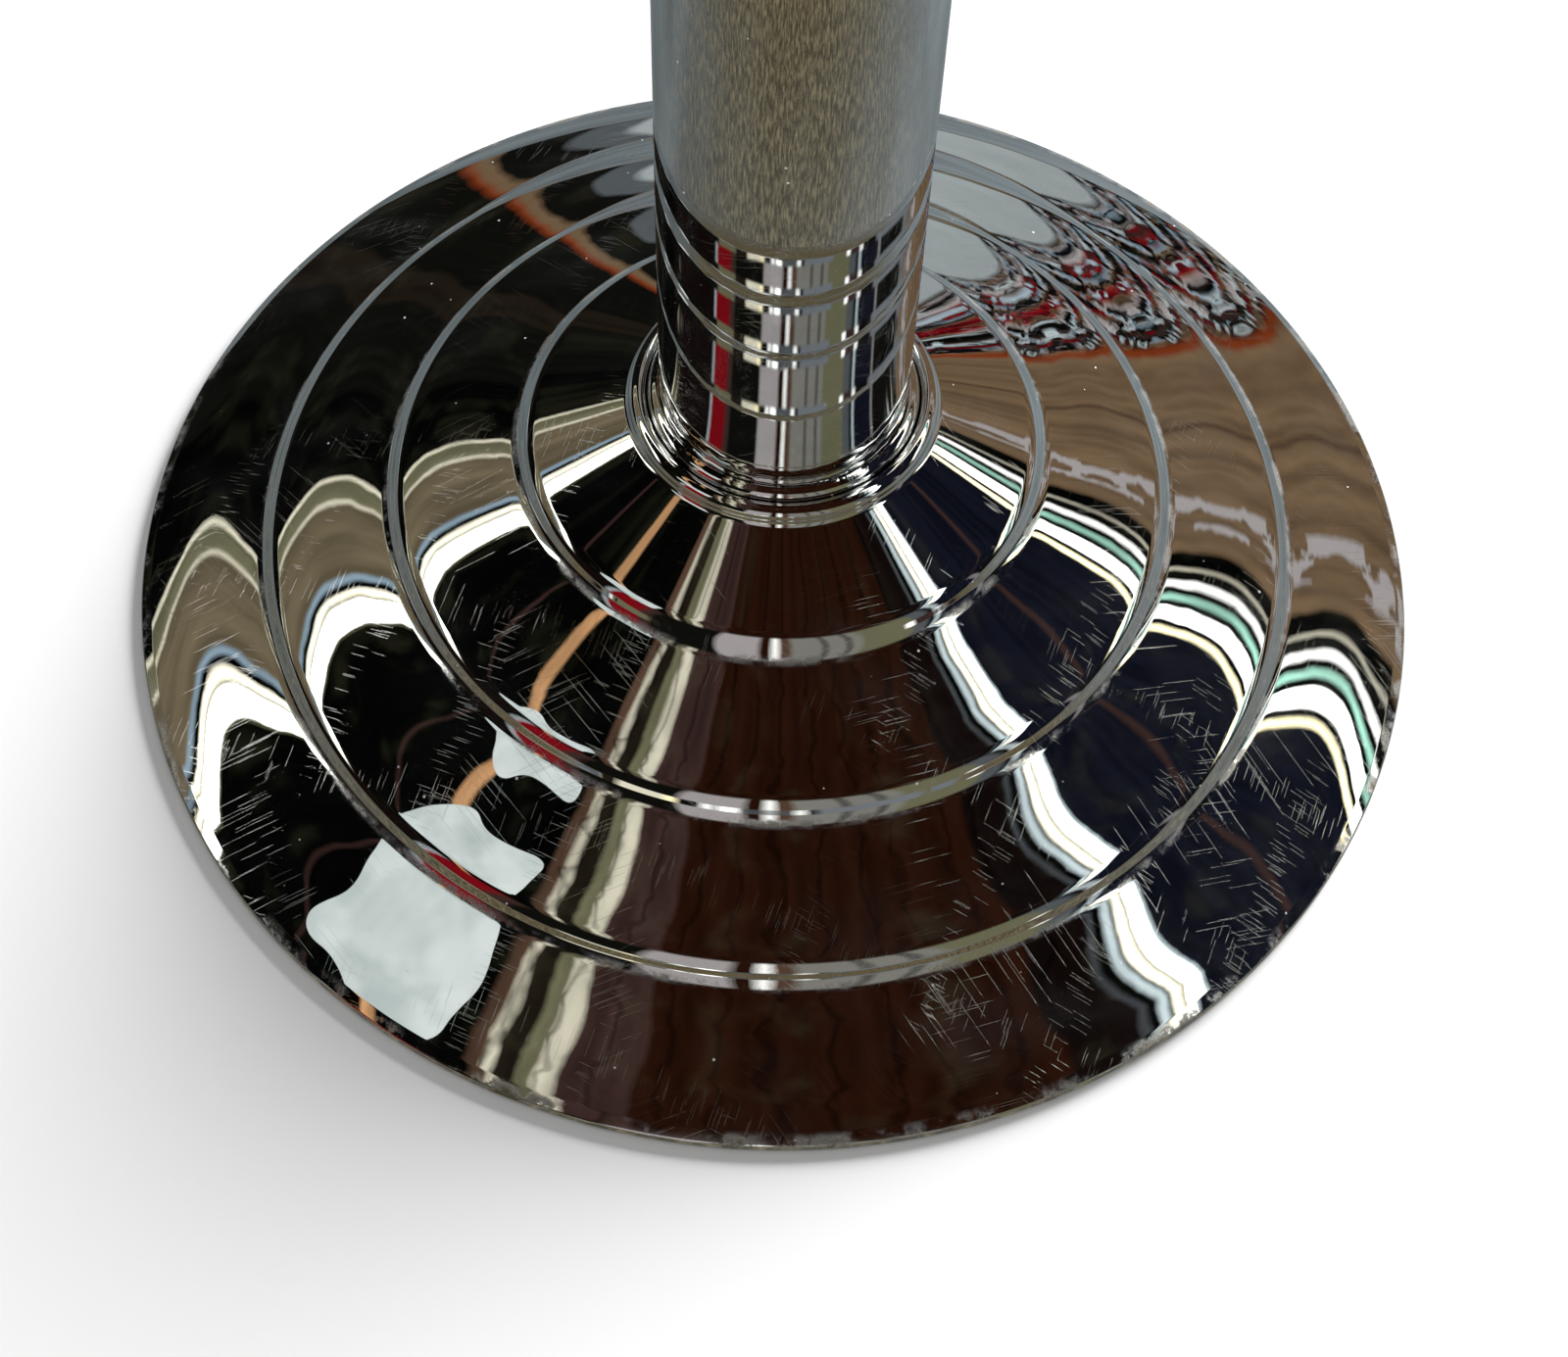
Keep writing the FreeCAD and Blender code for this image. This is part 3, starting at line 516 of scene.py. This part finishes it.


# A torn white sheet, glowing by itself as a painted reflection, hangs to the left, near enough that only the
# outer bands show it.
SHEET_TURN = -34.5                        # where the outermost band shows its middle, and how far away
SHEET_AWAY = 0.505
# Its rough outline, millimetres across and up from its middle.
SHEET_OUTLINE = [(72, -50), (68, 10), (48, 52), (12, 50), (-20, 76), (-52, 112), (-74, 72),
                 (-98, 22), (-130, -24), (-108, -74), (-52, -98), (4, -92), (40, -116), (64, -96)]


def softened(outline, rounds=3):
    """The outline with its corners cut off, again and again."""
    for _ in range(rounds):
        pairs = list(zip(outline, outline[1:] + outline[:1]))
        outline = [(a[0] + (b[0] - a[0]) * share, a[1] + (b[1] - a[1]) * share)
                   for a, b in pairs for share in (0.25, 0.75)]
    return outline


def make_white_sheet():
    """It faces the place on the outermost band that shows its middle."""
    steps = STEPS - 0.5                   # from the innermost riser to the middle of the outermost band
    place, seen = mirrored(SHEET_TURN, STEP_RADIUS + steps * STEP_PITCH, STEP_HEIGHT - steps * STEP_DROP)
    middle = place + seen * SHEET_AWAY
    facing = -seen
    across = Vector((0, 0, 1)).cross(facing).normalized()
    up = facing.cross(across)
    outline = [middle + across * u * MM + up * v * MM for u, v in softened(SHEET_OUTLINE)]
    # The sheet glows by itself: a painted reflection of a lit white sheet, with painted shade in its creases.
    material, n = new_material("white_sheet")
    painted_crease_shade = n.span(n.noise(n.place(), 14.0, 2.0), 0.3, 0.7)
    n.glowing(n.mix(painted_crease_shade, linear(196, 208, 204), linear(232, 240, 236)))
    only_mirrored(flat_sheet("white_sheet", outline, material))


KEY_STRENGTH = 8.6                        # the key is a soft sun: strength, width, and the way it shines
KEY_WIDTH = math.radians(30)
KEY_WAY = Vector((-0.60, -0.80, -0.33))
TOP_POWER = 16.0                          # the top light is a disc: power, width and place
TOP_WIDTH = 3.0
TOP_AT = (0.4, -0.4, 3.2)


def make_lights(base_pieces):
    """A broad soft key, low behind the right, which only the base shades, and a soft top light."""
    key = bpy.data.lights.new("key", "SUN")
    key.energy = KEY_STRENGTH
    key.angle = KEY_WIDTH
    holder = bpy.data.objects.new("key", key)
    holder.rotation_euler = KEY_WAY.to_track_quat("-Z", "Y").to_euler()
    shaders = bpy.data.collections.new("key_shade")
    for piece in base_pieces:
        shaders.objects.link(piece)
    holder.light_linking.blocker_collection = shaders
    top = bpy.data.lights.new("top", "AREA")
    top.shape = "DISK"
    top.size = TOP_WIDTH
    top.energy = TOP_POWER
    over = bpy.data.objects.new("top", top)
    over.location = TOP_AT
    for lamp in (holder, over):
        bpy.context.scene.collection.objects.link(lamp)
        lamp.visible_glossy = False
        lamp.visible_camera = False


# ---------------------------------------------------------------- base cover

STEPS = 3
STEP_RADIUS = 67.4 * MM                   # middle of the innermost riser, and its height
STEP_HEIGHT = 59.6 * MM
STEP_PITCH = 35.35 * MM                   # from riser to riser, outwards and downwards
STEP_DROP = 19.2 * MM
RISER_RUN = 2.8 * MM
RISER_RISE = 4.6 * MM
BAND_BOW = 0.2 * MM                       # how far a band bows below and above a straight cone
STEP_ROUND = 7.0 * MM                     # rounding at the top and foot of a riser
RIM_EDGE_ROUND = STEP_ROUND * 0.55        # the same where the last band meets the rim
NECK_RADIUS = 39.6 * MM
NECK_FOOT = 73.7 * MM
NECK_BORE = 35.0 * MM
BEAD_ROUND = 2.6 * MM                     # roundings of the neck bead: outer shoulder, inner edge, foot
BEAD_LIP_ROUND = 1.9 * MM
BEAD_FOOT_ROUND = 2.2 * MM
RIM_UPRIGHT = 1.7 * MM
RIM_ROUND = 1.0 * MM
LIP_WIDTH = 6.5 * MM
GAUGE = 1.2 * MM
INWARD = Vector((-0.45, 0, -0.92))        # from a band's outside to its inside
INSIDE_START = 0.2 * MM                   # where the inside begins, above the lip
DENT = 0.08 * MM                          # how far the pressed sheet wavers
DENTS_PER_METRE = 24.0
SEGMENTS = 360
ARC_STEP = math.radians(2.5)
BAND_STEPS = 26
TOP_BAND_STEPS = 16
SHARP_EDGE = math.radians(35)


def arc_points(before, corner, after, radius):
    """Points along the arc that rounds a corner off."""
    back = (before - corner).normalized()
    ahead = (after - corner).normalized()
    half = back.angle(ahead) / 2
    centre = corner + (back + ahead).normalized() * radius / math.sin(half)
    start = corner + back * radius / math.tan(half) - centre
    end = corner + ahead * radius / math.tan(half) - centre
    swing = start.rotation_difference(end)
    count = max(2, round(swing.angle / ARC_STEP))
    return [centre + Quaternion(swing.axis, swing.angle * number / count) @ start
            for number in range(count + 1)]


def step_corners(number):
    """The top edge and the foot of a riser; number STEPS is the rim."""
    middle = Vector((STEP_RADIUS + number * STEP_PITCH, 0, STEP_HEIGHT - number * STEP_DROP))
    half = Vector((RISER_RUN / 2, 0, -RISER_RISE / 2))
    return middle - half, middle + half


def band_points(foot, edge):
    """A band between two roundings: a straight cone with one gentle wave in it."""
    points = []
    for number in range(3, BAND_STEPS - 2):
        share = number / BAND_STEPS
        point = foot.lerp(edge, share)
        point.z -= BAND_BOW * math.sin(2 * math.pi * share)
        points.append(point)
    return points


def cover_profile():
    """The cover's section, from the bead's inner edge over the outside and back inside."""
    bore_foot = Vector((NECK_BORE, 0, NECK_FOOT - GAUGE))
    lip = Vector((NECK_BORE, 0, COVER_HIGH.z))
    shoulder = Vector((NECK_RADIUS, 0, COVER_HIGH.z))
    neck = Vector((NECK_RADIUS, 0, NECK_FOOT))
    corners = [step_corners(number) for number in range(STEPS + 1)]
    first_edge = corners[0][0]
    rim_top = Vector((BASE_RADIUS, 0, COVER_LOW.z + RIM_UPRIGHT))
    rim_low = Vector((BASE_RADIUS, 0, COVER_LOW.z))
    points = arc_points(bore_foot, lip, shoulder, BEAD_LIP_ROUND)
    points += arc_points(lip, shoulder, neck, BEAD_ROUND)
    points += arc_points(shoulder, neck, first_edge, BEAD_FOOT_ROUND)
    points += [neck.lerp(first_edge, number / TOP_BAND_STEPS) for number in range(3, TOP_BAND_STEPS - 1)]
    points += arc_points(neck, first_edge, corners[0][1], STEP_ROUND)
    for (edge, foot), (next_edge, next_foot) in zip(corners, corners[1:]):
        band = band_points(foot, next_edge)
        at_rim = next_edge is corners[STEPS][0]
        points += arc_points(edge, foot, band[0], STEP_ROUND) + band
        points += arc_points(band[-1], next_edge, rim_top if at_rim else next_foot,
                             RIM_EDGE_ROUND if at_rim else STEP_ROUND)
    points += arc_points(corners[STEPS][0], rim_top, rim_low, RIM_ROUND)
    points += [rim_low, rim_low - Vector((LIP_WIDTH, 0, 0)), rim_low + Vector((-LIP_WIDTH, 0, GAUGE)),
               rim_low + Vector((-GAUGE, 0, GAUGE)), rim_low + Vector((-GAUGE, 0, GAUGE + INSIDE_START))]
    inside = [first_edge]
    for (_, foot), (edge, _) in zip(corners, corners[1:]):
        inside += [foot, edge]
    points += [corner + INWARD * GAUGE for corner in reversed(inside)]
    return points + [bore_foot]


def lathe(name, profile):
    """A closed mesh turned about Z, its faces smooth except over sharp edges."""
    vertices, faces = [], []
    count = len(profile)
    for segment in range(SEGMENTS):
        turn = 2 * math.pi * segment / SEGMENTS
        for point in profile:
            place = Vector((point.x * math.cos(turn), point.x * math.sin(turn), point.z))
            sway = noise.noise(place * DENTS_PER_METRE) * DENT
            place.z += sway * min(1.0, max(0.0, (BASE_RADIUS - point.x) / STEP_PITCH))
            vertices.append(place)
        following = (segment + 1) % SEGMENTS
        for number in range(count):
            after = (number + 1) % count
            faces.append((segment * count + number, segment * count + after,
                          following * count + after, following * count + number))
    mesh = bpy.data.meshes.new(name)
    mesh.from_pydata(vertices, [], faces)
    mesh.flip_normals()
    mesh.shade_smooth()
    mesh.set_sharp_from_angle(angle=SHARP_EDGE)
    piece = bpy.data.objects.new(name, mesh)
    bpy.context.scene.collection.objects.link(piece)
    return piece


def make_cover():
    """The base cover again, finer than its CAD mesh, because chrome shows every facet."""
    cover = lathe("base_cover_shell", cover_profile())
    cover.data.materials.append(chrome("chrome_cover", plan_layout, crevices=True))
    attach(cover, "post")
    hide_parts("base_cover")
    return cover


# ---------------------------------------------------------------- materials

def principled(n, colour, metallic, roughness):
    surface = n.new("ShaderNodeBsdfPrincipled")
    n.put(surface.inputs["Base Color"], colour)
    n.put(surface.inputs["Metallic"], metallic)
    n.put(surface.inputs["Roughness"], roughness)
    n.surface(surface.outputs[0])
    return surface


def plan_layout(n, place):
    """Plan coordinates, for surfaces seen from above."""
    x, y, _ = n.split(place)
    return x, y


def wrapped_layout(n, place):
    """Coordinates wrapped round the post: the way round it and the height."""
    x, y, z = n.split(place)
    return n.math("MULTIPLY", n.math("ARCTAN2", y, x), TUBE_RADIUS), z


def scratches(n, across, up, angle, length, width, share, offset):
    """Fine straight scratches: 1 on a scratch, 0 off it. A share of a stretched pattern's cells holds one."""
    reach = 0.09                          # half a scratch's length, in cells
    sine, cosine = math.sin(angle), math.cos(angle)
    along = n.math("ADD", n.math("MULTIPLY", across, cosine), n.math("MULTIPLY", up, sine))
    square = n.math("SUBTRACT", n.math("MULTIPLY", up, cosine), n.math("MULTIPLY", across, sine))
    cell = n.join(n.math("ADD", n.math("MULTIPLY", along, 2 * reach / length), offset),
                  n.math("MULTIPLY", square, 2 * reach / width))
    distance, chance = n.cells(cell, 1.0, "2D")
    line = n.span(distance, reach * 0.35, reach, 1.0, 0.0)
    return n.math("MULTIPLY", line, n.math("LESS_THAN", chance, share))


# Angle, length and width in millimetres, share of the cells that hold one, offset of the pattern.
SCRATCH_SETS = [(0.35, 14, 0.06, 0.18, 3.1), (1.25, 8, 0.05, 0.16, 17.7), (2.30, 20, 0.07, 0.12, 41.3),
                (2.75, 6, 0.05, 0.20, 63.9)]


def scratch_marks(n, across, up):
    """Every set of scratches at once."""
    marks = None
    for angle, length, width, share, offset in SCRATCH_SETS:
        one = scratches(n, across, up, angle, length * MM, width * MM, share, offset)
        marks = one if marks is None else n.math("MAXIMUM", marks, one)
    return marks


def chrome(name, layout, crevices=False):
    """Worn bright chrome: soft wipe marks, fine scratches, dust, and dirt in the crevices."""
    material, n = new_material(name)
    place = n.place()
    across, up = layout(n, place)
    crowd = n.span(n.noise(place, 19.0, 2.0), 0.42, 0.66)
    marks = n.math("MULTIPLY", scratch_marks(n, across, up), n.span(crowd, 0.0, 1.0, 0.25, 1.0))
    wiped = n.noise(n.join(n.math("MULTIPLY", across, 30.0), n.math("MULTIPLY", up, 60.0)), 1.0, 5.0, 0.65)
    veil = n.math("MULTIPLY", n.span(wiped, 0.36, 0.9), crowd)
    distance, chance = n.cells(place, 130.0)
    dust = n.math("LESS_THAN", distance, n.math("MULTIPLY", chance, 0.05))
    rough = n.span(veil, 0.0, 1.0, 0.012, 0.05)
    rough = n.math("MAXIMUM", rough, n.math("MULTIPLY", marks, 0.3))
    metal = n.math("SUBTRACT", 1.0, n.math("ADD", n.math("MULTIPLY", marks, 0.10),
                                           n.math("MULTIPLY", veil, 0.02)))
    metal = n.math("MULTIPLY", metal, n.math("SUBTRACT", 1.0, n.math("MULTIPLY", dust, 0.85)))
    colour = n.mix(n.span(wiped, 0.3, 0.8), linear(236, 237, 238), linear(226, 227, 228))
    if crevices:
        dirt = crevice_dirt(n, place)
        colour = n.mix(dirt, colour, linear(112, 104, 82))
        rough = n.math("MAXIMUM", rough, n.math("MULTIPLY", dirt, 0.5))
        metal = n.math("MULTIPLY", metal, n.math("SUBTRACT", 1.0, n.math("MULTIPLY", dirt, 0.6)))
    surface = principled(n, colour, metal, rough)
    relief = n.math("SUBTRACT", n.noise(place, 46.0, 2.0), n.math("MULTIPLY", marks, 0.25))
    n.put(surface.inputs["Normal"], n.bump(relief, 0.02 * MM))
    return material


DIRT_OUT = 0.6 * MM                       # how far out from a riser's foot its line of dirt lies
DIRT_REACH = (0.2 * MM, 1.3 * MM)         # the line is full up to the first and gone at the second
RIM_DIRT = (3.4 * MM, 0.6 * MM)           # how far in from the edge the rim's dirt begins and is full


def crevice_dirt(n, place):
    """Old polish and dirt at the feet of the risers, and a pitted edge at the rim."""
    x, y, _ = n.split(place)
    radius = n.from_axis(x, y)
    patchy = n.span(n.noise(place, 90.0, 5.0, 0.7), 0.46, 0.66)
    dirt = None
    for number in range(STEPS):
        foot = STEP_RADIUS + number * STEP_PITCH + RISER_RUN / 2 + DIRT_OUT
        away = n.math("ABSOLUTE", n.math("SUBTRACT", radius, foot))
        line = n.span(away, *DIRT_REACH, 1.0, 0.0)
        dirt = line if dirt is None else n.math("MAXIMUM", dirt, line)
    rim = n.span(radius, *(BASE_RADIUS - inwards for inwards in RIM_DIRT))
    return n.math("MULTIPLY", n.math("MAXIMUM", n.math("MULTIPLY", dirt, 0.7), rim), patchy)


def plain_finish(name, dark, light, metallic, roughness, scale, grain):
    """A finish whose colour, gloss and surface vary with one fine grain and one broad wear."""
    material, n = new_material(name)
    place = n.place()
    fine = n.noise(place, scale, 6.0, 0.7)
    broad = n.noise(place, scale / 12, 3.0)
    worn = n.span(n.math("ADD", n.math("MULTIPLY", fine, 0.4), n.math("MULTIPLY", broad, 0.6)), 0.35, 0.65)
    gloss = n.span(worn, 0.0, 1.0, roughness * 1.15, roughness * 0.8)
    surface = principled(n, n.mix(worn, dark, light), metallic, gloss)
    n.put(surface.inputs["Normal"], n.bump(fine, grain * MM))
    return material


# Dark and light colour, metallic, roughness, scale of the grain, and its depth in millimetres.
PLAIN_FINISHES = {
    "plated_steel": (linear(120, 121, 122), linear(168, 169, 170), 1.0, 0.34, 900.0, 0.02),
    "zinc_steel": (linear(140, 141, 134), linear(186, 186, 178), 1.0, 0.32, 700.0, 0.02),
    "cast_iron": (linear(30, 30, 31), linear(62, 61, 60), 0.4, 0.72, 500.0, 0.25),
    "black_rubber": (linear(14, 14, 14), linear(34, 34, 33), 0.0, 0.78, 800.0, 0.06),
    "nylon": (linear(206, 202, 190), linear(228, 225, 216), 0.0, 0.46, 400.0, 0.03),
    "brass": (linear(160, 126, 66), linear(204, 170, 100), 1.0, 0.28, 600.0, 0.02)}


def dress_nodes():
    """Every carried-over CAD node takes the finish of its slot."""
    finishes = {"chrome": chrome("chrome_post", wrapped_layout)}
    for name, finish in PLAIN_FINISHES.items():
        finishes[name] = plain_finish(name, *finish)
    slots = {part["node"]: part["material_slot"] for part in frame["record"]["subparts"]}
    for name, node in frame["nodes"].items():
        for slot in node.material_slots:
            slot.material = finishes[slots[name]]


dress_nodes()
cover = make_cover()
make_camera()
make_room()
make_floors()
make_white_sheet()
make_lights([cover] + [frame["nodes"][name] for name in ("neck_ring", "floor_ring", "bottom_plate")])
bpy.context.scene.view_settings.view_transform = "Standard"
